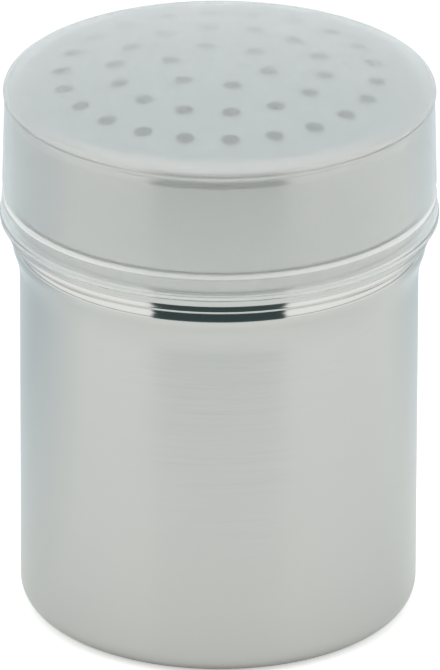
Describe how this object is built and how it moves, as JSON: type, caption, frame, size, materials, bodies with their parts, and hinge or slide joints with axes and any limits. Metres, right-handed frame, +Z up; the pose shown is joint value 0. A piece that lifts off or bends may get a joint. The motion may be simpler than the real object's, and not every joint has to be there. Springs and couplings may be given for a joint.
{
  "type": "spice shaker",
  "caption": "Steel table shaker for dry spices: a drawn cup with a flared shoulder, a push-on lid with a domed perforated crown, and a translucent plastic cover cap that pulls off.",
  "frame": {"origin": "middle of the ring-shaped face that the cup stands on", "axes": "+Z up along the axis of the cup, lid and cap; the view of the picture looks along +Y, with +X to the right"},
  "size_m": [0.0716, 0.0714, 0.095],
  "materials": {
    "cup_steel": "satin wall brushed round the axis, polished flare at the shoulder",
    "lid_steel": "polished skirt and rim, finely satin crown",
    "cap_plastic": "translucent, lightly frosted moulding"
  },
  "bodies": {
    "cup": {"cup": "cup_steel"},
    "lid": {"perforated_lid": "lid_steel"},
    "cap": {"cover_cap": "cap_plastic"}
  },
  "joints": [
    {"name": "lid_lift", "type": "slide", "parent": "cup", "child": "lid", "axis": [0, 0, 1], "range_m": [0, 0.04]},
    {"name": "cap_lift", "type": "slide", "parent": "lid", "child": "cap", "axis": [0, 0, 1], "range_m": [0, 0.04]}
  ]
}
